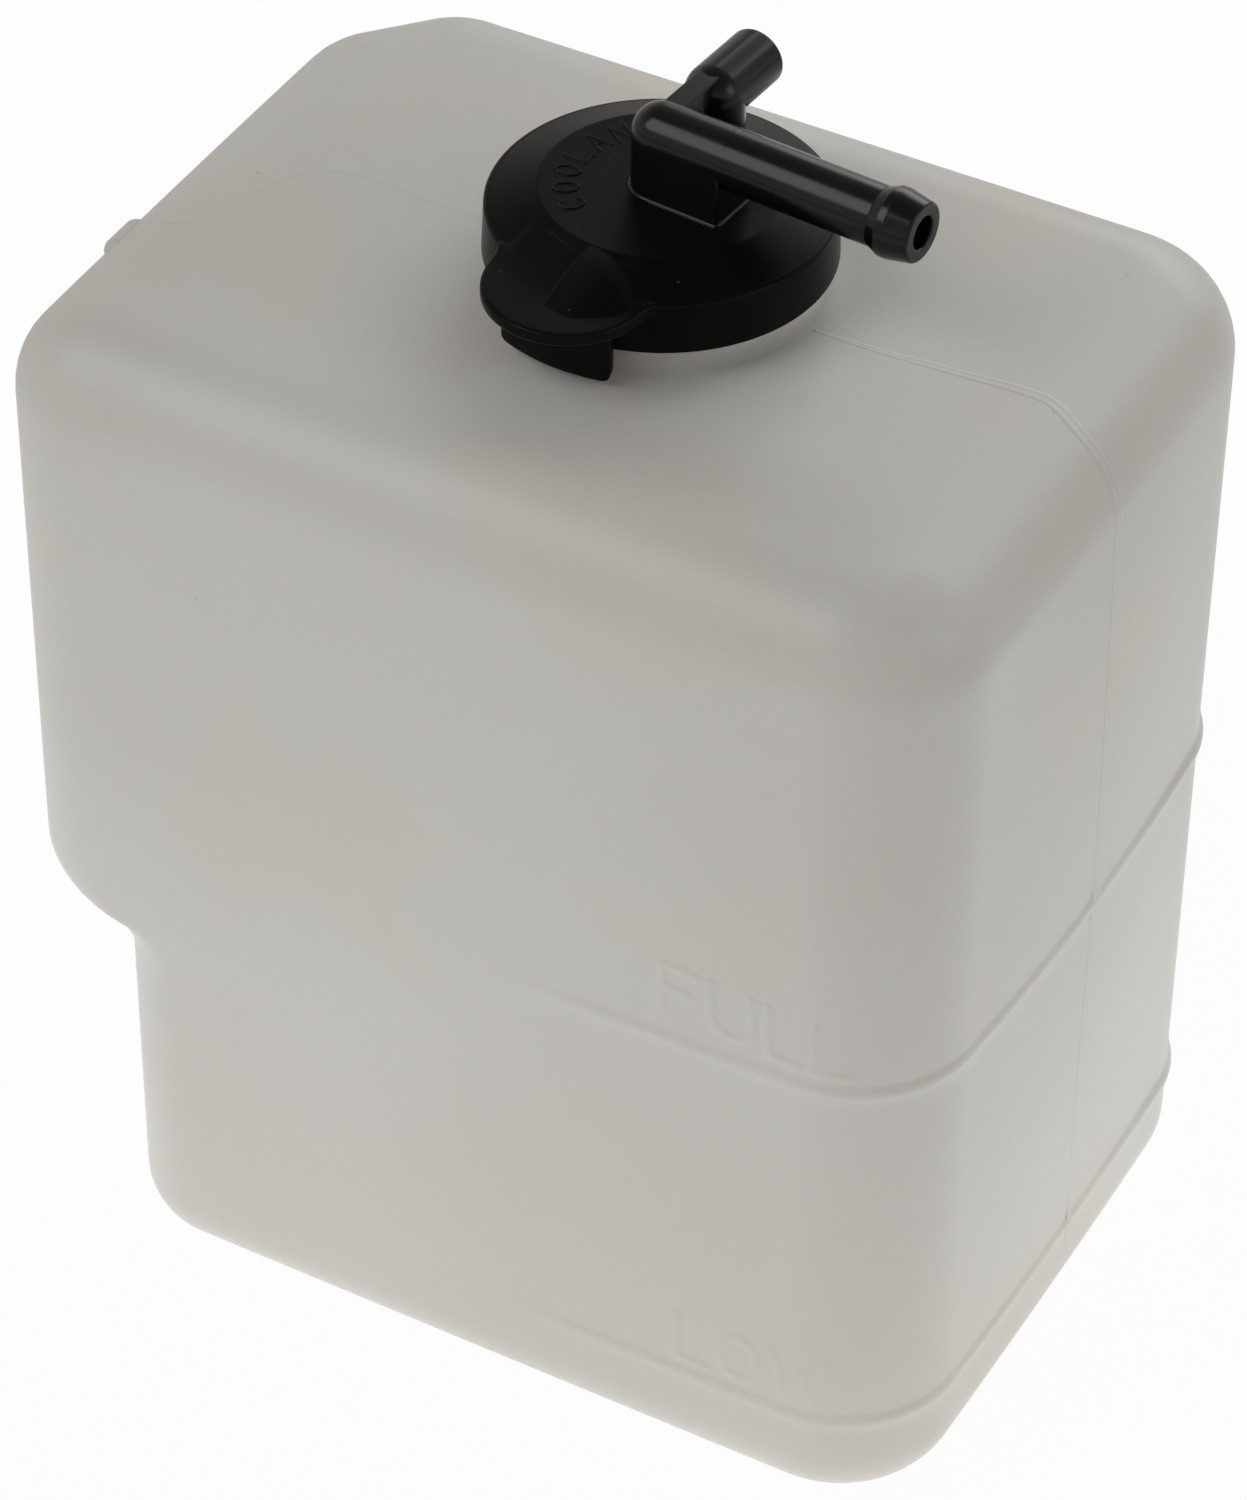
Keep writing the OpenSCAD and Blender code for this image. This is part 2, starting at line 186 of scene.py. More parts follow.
dimmed.inputs["Fac"].default_value = SEEN_WHITE
links.new(floor_matte.outputs[0], dimmed.inputs[1])
links.new(seen.outputs[0], dimmed.inputs[2])
floor_out = nodes.new("ShaderNodeOutputMaterial")
links.new(unlike_for_camera(nodes, links, lit_floor, dimmed), floor_out.inputs["Surface"])

floor_corners = FLOOR_HALF * np.array([(-1, -1, 0), (1, -1, 0), (1, 1, 0), (-1, 1, 0)])
floor_mesh = bpy.data.meshes.new("floor")
floor_mesh.from_pydata(floor_corners.tolist(), [], [(0, 1, 2, 3)])
floor_mesh.materials.append(floor_paint)
floor = bpy.data.objects.new("floor", floor_mesh)
bpy.context.scene.collection.objects.link(floor)

# %% [markdown]
# ## Helpers for surfaces
# Every piece is a skin through rings of points, like the courses of a
# basket. A ring is a closed line of points, counter-clockwise seen from
# the side to which the rings run, and the two ends are shut by a point in
# their middle. A piece turned on a lathe is the same thing with round rings.

# %% Define the surface helpers


def skin_through(name, rings, material, body, closed=False):
    """A smooth mesh piece through rings of shape (rows, columns, 3), in mm.

    With closed=True the last ring joins the first, as on a tyre.
    """
    rows, columns, _ = rings.shape
    index = np.arange(rows * columns).reshape(rows, columns)
    if closed:
        index = np.vstack([index, index[:1]])
    beside = np.roll(index, -1, axis=1)
    quads = np.stack([index[:-1], beside[:-1], beside[1:], index[1:]], axis=-1).reshape(-1, 4)
    points = rings.reshape(-1, 3)
    faces = quads.tolist()
    if not closed:
        ends = np.stack([rings[0].mean(axis=0), rings[-1].mean(axis=0)])
        first, last = len(points), len(points) + 1
        points = np.vstack([points, ends])
        one = np.ones(columns, int)
        faces += np.stack([first * one, beside[0], index[0]], axis=-1).tolist()
        faces += np.stack([last * one, index[-1], beside[-1]], axis=-1).tolist()
    mesh = bpy.data.meshes.new(name)
    mesh.from_pydata((points / 1000).tolist(), [], faces)
    mesh.polygons.foreach_set("use_smooth", np.ones(len(faces), bool))
    mesh.update()
    mesh.materials.append(material)
    piece = bpy.data.objects.new(name, mesh)
    bpy.context.scene.collection.objects.link(piece)
    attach(piece, body)
    print(f"{name}: {len(points)} points, {len(faces)} faces")
    return piece


def rounded(corners, steps=7):
    """A profile through corners (a, b, radius), with an arc in each corner.

    The arc touches both sides at radius * tan(turn / 2) from the corner.
    """
    corners = np.array(corners, float)
    line = [corners[:1, :2]]
    for before, here, after in zip(corners[:-2], corners[1:-1], corners[2:]):
        u, v = before[:2] - here[:2], after[:2] - here[:2]
        u, v = u / np.linalg.norm(u), v / np.linalg.norm(v)
        half_angle = math.acos(np.clip(u @ v, -1, 1)) / 2
        if here[2] <= 0 or abs(half_angle - math.pi / 2) < 0.01:
            line.append(here[None, :2])
            continue
        touch = here[2] / math.tan(half_angle)
        centre = here[:2] + (u + v) / np.linalg.norm(u + v) * here[2] / math.sin(half_angle)
        a, b = here[:2] + u * touch - centre, here[:2] + v * touch - centre
        turn = math.atan2(a[0] * b[1] - a[1] * b[0], a @ b)
        t = np.linspace(0, turn, steps)[:, None]
        side = np.array([-a[1], a[0]])
        line.append(centre + a * np.cos(t) + side * np.sin(t))
    line.append(corners[-1:, :2])
    return np.vstack(line)


HOLD, LONG_RUN = 0.04, 0.5


def held(profile):
    """Adds points close to both ends of each long straight run of a profile.

    They lie HOLD from its ends. Smooth shading then stays true along the
    run, and turns only at its ends.
    """
    line = [profile[:1]]
    for here, there in zip(profile[:-1], profile[1:]):
        run = there - here
        length = np.hypot(*run)
        if length > LONG_RUN:
            line += [(here + run * HOLD / length)[None], (there - run * HOLD / length)[None]]
        line.append(there[None])
    return np.vstack(line)


def turned(profile, origin, across, up, axis, columns=96):
    """Rings of a lathe shape: profile (radius, distance along the axis)."""
    profile = held(profile)
    t = np.arange(columns) * 2 * np.pi / columns
    spoke = np.cos(t)[:, None] * np.array(across, float) + np.sin(t)[:, None] * np.array(up, float)
    radius, along = profile[:, 0], profile[:, 1]
    return (
        np.array(origin, float)
        + radius[:, None, None] * spoke[None]
        + along[:, None, None] * np.array(axis, float)
    )


def smooth_step(low, high, x):
    """Rises from 0 at low to 1 at high, level at both ends."""
    t = np.clip((x - low) / (high - low), 0, 1)
    return t * t * (3 - 2 * t)


# %% [markdown]
# ## Shader groups that both plastics share
# Moulded plastic is never quite even. Its tone drifts over centimetres,
# its skin has a fine grain, and dust gathers on it as specks. Each of
# these is a node group with its own amounts, so that the milky bottle and
# the black cap can use the same three effects.

# %% Build the shared shader groups


def new_group(name, inputs, outputs):
    """An empty shader group with number inputs and typed outputs."""
    group = bpy.data.node_groups.new(name, "ShaderNodeTree")
    for label, value in inputs.items():
        socket = group.interface.new_socket(label, in_out="INPUT", socket_type="NodeSocketFloat")
        socket.default_value = value
    for label, kind in outputs.items():
        group.interface.new_socket(label, in_out="OUTPUT", socket_type=kind)
    return group, group.nodes.new("NodeGroupInput"), group.nodes.new("NodeGroupOutput")


def group_noise(group, scale_socket, detail, roughness):
    """A noise pattern on Object coordinates inside a group."""
    place = group.nodes.new("ShaderNodeTexCoord")
    noise = group.nodes.new("ShaderNodeTexNoise")
    noise.inputs["Detail"].default_value = detail
    noise.inputs["Roughness"].default_value = roughness
    group.links.new(place.outputs["Object"], noise.inputs["Vector"])
    group.links.new(scale_socket, noise.inputs["Scale"])
    return noise.outputs["Fac"]


def tone_drift_group():
    """Mask from 0 to 1 that drifts slowly over the surface."""
    group, given, made = new_group(
        "tone_drift", {"Scale": 14.0, "Low": 0.35, "High": 0.65}, {"Mask": "NodeSocketFloat"})
    drift = group_noise(group, given.outputs["Scale"], 2.0, 0.5)
    spread = group.nodes.new("ShaderNodeMapRange")
    group.links.new(drift, spread.inputs["Value"])
    group.links.new(given.outputs["Low"], spread.inputs["From Min"])
    group.links.new(given.outputs["High"], spread.inputs["From Max"])
    group.links.new(spread.outputs["Result"], made.inputs["Mask"])
    return group


def skin_grain_group():
    """Height of a fine grain over a slow waviness."""
    group, given, made = new_group(
        "skin_grain", {"Grain scale": 1500.0, "Wave scale": 30.0, "Wave share": 0.5}, {"Height": "NodeSocketFloat"})
    grain = group_noise(group, given.outputs["Grain scale"], 2.0, 0.6)
    wave = group_noise(group, given.outputs["Wave scale"], 1.0, 0.5)
    blend = group.nodes.new("ShaderNodeMix")
    group.links.new(given.outputs["Wave share"], blend.inputs["Factor"])
    group.links.new(grain, blend.inputs["A"])
    group.links.new(wave, blend.inputs["B"])
    group.links.new(blend.outputs["Result"], made.inputs["Height"])
    return group


def dust_specks_group():
    """Mask of a few small specks, set apart at random."""
    group, given, made = new_group(
        "dust_specks", {"Scale": 300.0, "Size": 0.12, "Share": 0.1}, {"Mask": "NodeSocketFloat"})
    place = group.nodes.new("ShaderNodeTexCoord")
    cells = group.nodes.new("ShaderNodeTexVoronoi")
    group.links.new(place.outputs["Object"], cells.inputs["Vector"])
    group.links.new(given.outputs["Scale"], cells.inputs["Scale"])
    chance = group.nodes.new("ShaderNodeSeparateColor")
    group.links.new(cells.outputs["Color"], chance.inputs["Color"])

    def maths(operation, first, second):
        node = group.nodes.new("ShaderNodeMath")
        node.operation = operation
        group.links.new(first, node.inputs[0])
        group.links.new(second, node.inputs[1])
        return node.outputs[0]

    near = maths("LESS_THAN", cells.outputs["Distance"], given.outputs["Size"])
    chosen = maths("LESS_THAN", chance.outputs["Red"], given.outputs["Share"])
    group.links.new(maths("MULTIPLY", near, chosen), made.inputs["Mask"])
    return group


TONE_DRIFT, SKIN_GRAIN, DUST_SPECKS = tone_drift_group(), skin_grain_group(), dust_specks_group()


class Finish:
    """A material under construction, with its Principled shader ready."""

    def __init__(self, name, roughness, **plain):
        self.material = bpy.data.materials.new(name)
        self.nodes, self.links = node_tree(self.material)
        self.shader = self.nodes.new("ShaderNodeBsdfPrincipled")
        self.shader.inputs["Roughness"].default_value = roughness
        for socket, value in plain.items():
            self.shader.inputs[socket.replace("_", " ")].default_value = value
        self.out = self.nodes.new("ShaderNodeOutputMaterial")
        self.links.new(self.shader.outputs[0], self.out.inputs["Surface"])

    def group(self, tree, **amounts):
        """Places a shared group with this material's own amounts."""
        node = self.nodes.new("ShaderNodeGroup")
        node.node_tree = tree
        for label, value in amounts.items():
            node.inputs[label.replace("_", " ")].default_value = value
        return node.outputs[0]

    def mix(self, mask, first, second):
        """Mixes two colours, or a colour socket and a colour, by a mask."""
        node = self.nodes.new("ShaderNodeMix")
        node.data_type = "RGBA"
        self.links.new(mask, node.inputs["Factor"])
        for socket, value in ((node.inputs[6], first), (node.inputs[7], second)):
            if isinstance(value, tuple):
                socket.default_value = (*value, 1)
            else:
                self.links.new(value, socket)
        return node.outputs[2]

    def span(self, mask, low, high):
        """Maps a mask from 0..1 to low..high."""
        node = range_node(self.nodes, 0, 1, low, high)
        self.links.new(mask, node.inputs["Value"])
        return node.outputs["Result"]

    def scaled(self, mask, factor):
        """A mask times a plain factor."""
        node = self.nodes.new("ShaderNodeMath")
        node.operation = "MULTIPLY"
        node.inputs[1].default_value = factor
        self.links.new(mask, node.inputs[0])
        return node.outputs[0]

    def colour(self, socket):
        """Gives the shader its colour."""
        self.links.new(socket, self.shader.inputs["Base Color"])

    def let_through(self, share, tint):
        """Lets a share of the light pass through the wall, scattered and tinted."""
        through = self.nodes.new("ShaderNodeBsdfTranslucent")
        through.inputs["Color"].default_value = (*tint, 1)
        blend = self.nodes.new("ShaderNodeMixShader")
        blend.inputs["Fac"].default_value = share
        self.links.new(self.shader.outputs[0], blend.inputs[1])
        self.links.new(through.outputs[0], blend.inputs[2])
        self.links.new(blend.outputs[0], self.out.inputs["Surface"])

    def bump(self, height, depth_mm):
        """A bump of that depth under the shader's normal."""
        node = self.nodes.new("ShaderNodeBump")
        node.inputs["Strength"].default_value = 1.0
        node.inputs["Distance"].default_value = depth_mm / 1000
        self.links.new(height, node.inputs["Height"])
        self.links.new(node.outputs["Normal"], self.shader.inputs["Normal"])


# %% [markdown]
# ## The milky plastic of the bottle
# Natural polyethylene is a cloudy grey-white that lets some light through,
# so a fifth of the light passes the wall and dimly fills the inside. Slow
# drifts of tone and a warm stain keep it from looking painted, and a few
# specks are the dirt of a shelf.

# %% Make the bottle's plastic
MILK, MILK_DEEP = (0.600, 0.590, 0.562), (0.546, 0.535, 0.502)
STAIN, SPECK = (0.600, 0.530, 0.490), (0.22, 0.20, 0.18)
THROUGH_SHARE, THROUGH_TINT = 0.2, (0.8, 0.78, 0.72)
milky = Finish("milky_polyethylene", 0.42)
tone = milky.mix(milky.group(TONE_DRIFT, Scale=9.0), MILK, MILK_DEEP)
stain_mask = milky.scaled(milky.group(TONE_DRIFT, Scale=21.0, Low=0.55, High=0.72), 0.35)
tone = milky.mix(stain_mask, tone, STAIN)
specks = milky.scaled(milky.group(DUST_SPECKS, Scale=160.0, Size=0.05, Share=0.05), 0.3)
milky.colour(milky.mix(specks, tone, SPECK))
milky.bump(milky.group(SKIN_GRAIN, Grain_scale=1400.0, Wave_scale=28.0, Wave_share=0.75), 0.12)
milky.let_through(THROUGH_SHARE, THROUGH_TINT)

# %% [markdown]
# ## The black plastic of the cap
# The cap is black polypropylene. Its disc comes from a grained mould and
# looks matte; the nipples come from polished inserts and shine more.

# %% Make the cap's plastics
BLACK, BLACK_WORN, DUST = (0.002, 0.002, 0.002), (0.004, 0.004, 0.004), (0.06, 0.06, 0.06)


def black_plastic(name, shine, rough_low, rough_high, grain_mm):
    """Black polypropylene with its own shine, gloss and depth of grain."""
    finish = Finish(name, rough_low, Specular_IOR_Level=shine)
    drift = finish.group(TONE_DRIFT, Scale=60.0)
    tone = finish.mix(drift, BLACK, BLACK_WORN)
    specks = finish.scaled(finish.group(DUST_SPECKS, Scale=500.0, Size=0.09, Share=0.05), 0.5)
    finish.colour(finish.mix(specks, tone, DUST))
    finish.links.new(finish.span(drift, rough_low, rough_high), finish.shader.inputs["Roughness"])
    finish.bump(finish.group(SKIN_GRAIN, Grain_scale=2600.0, Wave_scale=120.0, Wave_share=0.1), grain_mm)
    return finish.material


cap_matte = black_plastic("cap_matte_black", 0.06, 0.28, 0.36, 0.008)
cap_gloss = black_plastic("cap_smooth_black", 0.26, 0.18, 0.24, 0.002)
tube_black = black_plastic("dip_tube_black", 0.2, 0.38, 0.46, 0.005)

# %% [markdown]
# ## The bottle
# Seen from above the bottle is a box with four round corners and one
# slanted corner. Its left end steps in below the middle. Its long edges
# are rolled over, top and bottom, and its walls bow out a little, because
# the hot plastic shrinks as it cools. The outline at each height is
# worked out once for all heights, as arrays: corners as arcs, and the
# walls between them as straight runs with a slight bow.

# %% Set the bottle's sizes
TANK_W, TANK_D, TANK_H, WALL = 142.0, 104.0, 162.0, 2.2
LEAN = math.tan(math.radians(0.4))
CORNER_R = np.array([13.5, 18.0, 18.0, 14.5, 14.5])
SLANT_W, SLANT_D = 15.0, 17.0
TOP_R, FOOT_R = 13.4, 11.0
STEP_IN, STEP_Z, STEP_R, STEP_TURN = 13.5, 71.0, 8.0, math.radians(80)
BOW = np.array([0.8, 1.3, 0.8, 0.0, 1.3])
CROWN = 0.6
NECK_AT = np.array([2.7, 2.1])
NECK_BORE_R, NECK_R, NECK_TOP = 17.2, 19.3, 172.4
BEAD_OUT, NECK_FILLET = 1.1, 3.0

# %% Define the step and the rolled edges


def step_in_at(z, inset):
    """How far the left wall has turned in at height z, on a skin at inset.

    Down from the top: upright, an outer bend, a short sloping shoulder,
    an inner bend, and upright again.
    """
    outer, inner = STEP_R - inset, STEP_R + inset
    u = STEP_Z - np.asarray(z, float)
    u1 = outer * math.sin(STEP_TURN)
    run = STEP_IN - 2 * STEP_R * (1 - math.cos(STEP_TURN))
    u2 = u1 + run / math.tan(STEP_TURN)
    u3 = u2 + inner * math.sin(STEP_TURN)

    def bend(r, w):
        return r - np.sqrt(np.clip(r * r - w * w, 0, None))

    x1, x2 = bend(outer, u1), bend(outer, u1) + run
    x3 = x2 + bend(inner, u3 - u2)
    return np.select(
        [u <= 0, u < u1, u < u2, u < u3],
        [0 * u, bend(outer, np.clip(u, 0, u1)), x1 + (u - u1) * math.tan(STEP_TURN), x3 - bend(inner, u3 - u)],
        x3)


def rolled_in(z, wall):
    """Inset of the skin at height z: the wall, and more at the rolled edges."""
    top = TOP_R - np.sqrt(np.clip((TOP_R - wall) ** 2 - np.clip(z - TANK_H + TOP_R, 0, None) ** 2, 0, None))
    foot = FOOT_R - np.sqrt(np.clip((FOOT_R - wall) ** 2 - np.clip(FOOT_R - z, 0, None) ** 2, 0, None))
    return np.where(z > TANK_H - TOP_R, top, np.where(z < FOOT_R, foot, wall))


# %% [markdown]
# The level marks are ribs that start on the front wall, run round the
# right end and stop behind its back corner. The words beside them are
# low and blurred by the mould, so each word is a height over the wall,
# worked out from the distance to the strokes of its letters, instead of
# sharp letters stuck on.

# %% Define the level marks and their words
MARK_HEIGHTS, MARK_HALF, MARK_OUT = (82.5, 19.0), 1.7, 0.68
# A rib fades in over MARK_START on the front wall, to the share MARK_FRONT
# of its full height. Round the front corner it grows to the share
# MARK_RIGHT, and along MARK_GROWTH on the right wall to its full height.
# Behind the back corner, over MARK_END, it sinks into the wall again.
MARK_START, MARK_CORNER, MARK_GROWTH, MARK_END = (8, 24), (53, 70), (5, 36), (50, 54)
MARK_FRONT, MARK_RIGHT = 0.33, 0.5
LETTERS = {
    "F": [[(0, 0), (0, 1), (1, 1)], [(0, 0.52), (0.8, 0.52)]],
    "U": [[(0, 1), (0, 0.3), (0.15, 0.07), (0.5, 0), (0.85, 0.07), (1, 0.3), (1, 1)]],
    "L": [[(0, 1), (0, 0), (1, 0)]],
    "O": [[(0.5, 1), (0.15, 0.88), (0, 0.5), (0.15, 0.12), (0.5, 0),
           (0.85, 0.12), (1, 0.5), (0.85, 0.88), (0.5, 1)]],
    "W": [[(0, 1), (0.25, 0), (0.5, 0.75), (0.75, 0), (1, 1)]],
}
LETTER_W = {"F": 4.8, "U": 6.1, "L": 4.4, "O": 5.8, "W": 8.0}
LETTER_GAP, LETTER_H, WORD_OUT = 2.4, 8.2, 0.15
# A stroke is at its full height up to the first distance from its line,
# and level with the wall from the second on.
STROKE_EDGE = (0.22, 1.07)
# Each word's left end, its foot and how much it rises per millimetre.
WORDS = {"FULL": (33.6, 87.6, -0.08), "LOW": (36.5, 22.1, 0.0)}
WORDS_FROM = 20.0


def distance_to_segment(x, y, a, b):
    """Distance from each point (x, y) to the straight stroke from a to b."""
    a, b = np.array(a, float), np.array(b, float)
    along = b - a
    t = np.clip(((x - a[0]) * along[0] + (y - a[1]) * along[1]) / (along @ along), 0, 1)
    return np.hypot(x - a[0] - t * along[0], y - a[1] - t * along[1])


def word_height(x, z):
    """Height of the raised words, x being measured along the wall's skin."""
    nearest = np.full(np.shape(x), np.inf)
    for word, (left, foot, tilt) in WORDS.items():
        start = left
        for letter in word:
            for stroke in LETTERS[letter]:
                across = [start + px * LETTER_W[letter] for px, _ in stroke]
                line = [(at, foot + pz * LETTER_H + tilt * (at - left)) for at, (_, pz) in zip(across, stroke)]
                for a, b in zip(line[:-1], line[1:]):
                    nearest = np.minimum(nearest, distance_to_segment(x, z, a, b))
            start += LETTER_W[letter] + LETTER_GAP
    return WORD_OUT * (1 - smooth_step(*STROKE_EDGE, nearest))


def mark_height(x, y, z):
    """Height of the level ribs: a rounded section times a share along it."""
    rib = sum(np.clip(1 - ((z - level) / MARK_HALF) ** 2, 0, 1) ** 1.5 for level in MARK_HEIGHTS)
    front = MARK_FRONT + (MARK_RIGHT - MARK_FRONT) * smooth_step(*MARK_CORNER, x)
    front = front * smooth_step(*MARK_START, x)
    back = MARK_RIGHT * smooth_step(*MARK_END, x)
    growth = (1 - MARK_RIGHT) * smooth_step(*MARK_GROWTH, y) * (x > np.mean(MARK_END))
    return MARK_OUT * rib * (np.where(y < 0, front, back) + growth)


# %% Lay out the columns and work out the outline at every height
# The columns lie close together where the ribs and the words are, on the
# right of the front wall and in the first half of the front right corner.
EVEN_CORNER = np.linspace(0, 1, 19)
FINE_CORNER = np.concatenate([np.linspace(0, 0.36, 26), np.linspace(0.41, 1, 13)])
CORNER_SHARES = [EVEN_CORNER, FINE_CORNER, EVEN_CORNER, EVEN_CORNER, EVEN_CORNER]


def wall_shares():
    """Places of the columns along each wall, as shares of its length."""
    front_run = TANK_W - CORNER_R[0] - CORNER_R[1]
    x = np.concatenate([np.linspace(-57.5, 15, 24), np.linspace(17, 32, 11), np.linspace(32.4, 52.6, 51)])
    front = (x + TANK_W / 2 - CORNER_R[0]) / front_run
    even = [np.linspace(0, 1, n + 1)[:-1] for n in (26, 24, 6, 26)]
    return [front[1:]] + [share[1:] for share in even]


SHARES = wall_shares()
slant_out = np.array([-SLANT_D, SLANT_W]) / math.hypot(SLANT_W, SLANT_D)
OUT = np.array([[0, -1], [1, 0], [0, 1], slant_out, [-1, 0]], float)


def outline(z, inset, wall, relief):
    """Rings at heights z, each at its own inset from the upright walls.

    A corner's arc is centre + radius * direction. A wall point goes
    straight from one arc to the next and then out by the bow. With relief
    the ribs and the words are added along the normals.
    """
    z, inset = np.asarray(z, float), np.asarray(inset, float)
    lean = (TANK_H - z) * LEAN
    left = -TANK_W / 2 + step_in_at(z, wall)
    right, front, back = np.full_like(z, TANK_W / 2), -TANK_D / 2 + lean, TANK_D / 2 - lean
    corner = np.stack([
        np.stack([left, front], -1), np.stack([right, front], -1), np.stack([right, back], -1),
        np.stack([left + SLANT_W, back], -1), np.stack([left, back - SLANT_D], -1)], axis=1)
    before = np.roll(OUT, 1, axis=0)
    miter = (before + OUT) / (1 + (before * OUT).sum(axis=1, keepdims=True))
    radius = np.clip(CORNER_R[None] - inset[:, None], 0.3, None)
    centre = corner - miter[None] * (inset[:, None, None] + radius[:, :, None])
    swell = 4 * (z / TANK_H) * (1 - z / TANK_H)
    points, normals, along = [], [], []
    for i in range(5):
        start = math.atan2(before[i][1], before[i][0])
        sweep = math.acos(np.clip(before[i] @ OUT[i], -1, 1))
        t = start + sweep * CORNER_SHARES[i]
        spoke = np.stack([np.cos(t), np.sin(t)], -1)[None]
        points.append(centre[:, i, None] + radius[:, i, None, None] * spoke)
        normals.append(np.broadcast_to(spoke, points[-1].shape))
        along.append(centre[:, i, 0, None] + CORNER_R[i] * (t - start)[None])
        share = SHARES[i][None, :, None]
        p = centre[:, i, None] + OUT[i] * radius[:, i, None, None]
        q = centre[:, (i + 1) % 5, None] + OUT[i] * radius[:, (i + 1) % 5, None, None]
        bow = BOW[i] * swell[:, None, None] * 4 * share * (1 - share)
        points.append(p + (q - p) * share + OUT[i] * bow)
        normals.append(np.broadcast_to(OUT[i], points[-1].shape))
        along.append(points[-1][..., 0])
    flat, normal = np.concatenate(points, axis=1), np.concatenate(normals, axis=1)
    height = np.broadcast_to(z[:, None], flat.shape[:2])
    if relief:
        on_front = (normal[..., 1] < -0.6) & (flat[..., 0] > WORDS_FROM)
        word = word_height(np.concatenate(along, axis=1), height)
        out = mark_height(flat[..., 0], flat[..., 1], height) + np.where(on_front, word, 0)
        flat = flat + normal * out[..., None]
    return np.concatenate([flat, height[..., None]], axis=-1)


def spaced(*runs):
    """Joins runs (from, to, count) of heights, leaving out repeats."""
    return np.unique(np.round(np.concatenate([np.linspace(*run) for run in runs]), 4))


def step_heights(wall, count):
    """Heights of the rows round the two bends of the step."""
    t = np.linspace(0, STEP_TURN, count)
    top_bend = STEP_Z - (STEP_R - wall) * np.sin(t)
    shoulder = (STEP_IN - 2 * STEP_R * (1 - math.cos(STEP_TURN))) / math.tan(STEP_TURN)
    low = top_bend[-1] - shoulder
    return np.concatenate([top_bend, low - (STEP_R + wall) * (math.sin(STEP_TURN) - np.sin(t))])


# Rows lie close together round the rolled edges and the step, and where
# the ribs and the words are.
quarter = np.linspace(0, math.pi / 2, 13)
outer_z = np.unique(np.round(np.concatenate([
    FOOT_R * (1 - np.cos(quarter)),
    spaced((FOOT_R, 17.8, 5), (18, 20, 13), (20.4, 31.4, 31), (33, 53, 9)),
    step_heights(0, 9),
    spaced((73, 81, 5), (81.5, 83.5, 13), (83.9, 97.3, 37), (99, 147, 15)),
    TANK_H - TOP_R + TOP_R * np.sin(quarter)]), 4))
inner_z = np.unique(np.round(np.concatenate([
    FOOT_R - (FOOT_R - WALL) * np.cos(quarter[::2]), np.linspace(14, 52, 5), step_heights(WALL, 6),
    np.linspace(76, 146, 6), TANK_H - TOP_R + (TOP_R - WALL) * np.sin(quarter[::2])]), 4))

# %% [markdown]
# One skin goes all the way: from the middle of the base up the outside,
# over the top to the neck, up the neck and over its rim, down the bore,
# and back along the inside. Between the flat top's outline and the round
# neck, each ring is a blend of the two.

# %% Make the bottle


def toward(ring, target, shares):
    """Rings between a ring and a target ring, at the given shares."""
    return ring[None] + (target - ring)[None] * np.asarray(shares, float)[:, None, None]


def circle_like(ring, radius, z):
    """A circle round the neck whose points lie on the same spokes as a ring."""
    spoke = ring[:, :2] - NECK_AT
    spoke = spoke / np.linalg.norm(spoke, axis=1, keepdims=True)
    return np.column_stack([NECK_AT + radius * spoke, np.full(len(ring), z)])


def crowned(rings):
    """Adds the slight crown of the top face."""
    x = rings[..., 0] / (TANK_W / 2 - TOP_R)
    y = rings[..., 1] / (TANK_D / 2 - TOP_R)
    lifted = rings.copy()
    lifted[..., 2] += CROWN * np.clip(1 - x * x, 0, 1) * np.clip(1 - y * y, 0, 1)
    return lifted


def neck_profile():
    """The neck from its fillet up over the bead and rim and down the bore."""
    top, bead = NECK_TOP, NECK_TOP - 3.0
    foot = TANK_H + CROWN
    return rounded([
        (NECK_R + NECK_FILLET, foot, 0), (NECK_R, foot, NECK_FILLET), (NECK_R, bead, 0.3),
        (NECK_R + BEAD_OUT, bead + 0.9, 0.3), (NECK_R + BEAD_OUT, bead + 1.5, 0.4), (NECK_R, top - 0.2, 0.3),
        (NECK_R - 0.3, top, 0.3), (NECK_BORE_R, top, 0.4), (NECK_BORE_R, foot - WALL, 0)], 6)


outer = outline(outer_z, rolled_in(outer_z, 0.0), 0.0, True)
inner = outline(inner_z, rolled_in(inner_z, WALL), WALL, False)[::-1]
hub = np.array([6.0, 0.0, 0.0])
base = toward(np.broadcast_to(hub, outer[0].shape), outer[0], [0.15, 0.45, 0.7, 0.88])
neck_line = neck_profile()
spokes = outer[-1]
neck = np.stack([circle_like(spokes, radius, z) for radius, z in neck_line])
deck = crowned(toward(outer[-1], circle_like(spokes, neck_line[0, 0], TANK_H), np.linspace(0.05, 0.96, 15)))
ceiling = crowned(toward(circle_like(spokes, NECK_BORE_R, TANK_H - WALL), inner[0], np.linspace(0.1, 0.9, 6)))
inner_hub = np.broadcast_to(hub + [0, 0, WALL], inner[-1].shape)
inner_base = toward(inner[-1], inner_hub, [0.3, 0.7])
tank_shell = skin_through(
    "tank_shell", np.concatenate([base, outer, deck, neck, ceiling, inner, inner_base]),
    milky.material, "tank")
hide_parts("tank")

# %% [markdown]
# ## Seams of the bottle
# Where the two halves of the mould met, a fine raised line runs over the
# bottle, and at its left top edge the pinched parison left a short ridge.
# Each is a thin strip along a path. The path is given by guide points
# near the bottle, and each is moved to the nearest place on its skin. A
# strip's flanks are gentle and run on under the skin, since steep ones
# would draw a dark line.

# %% Define the strips
skin = BVHTree.FromPolygons(
    [v.co for v in tank_shell.data.vertices], [f.vertices for f in tank_shell.data.polygons])


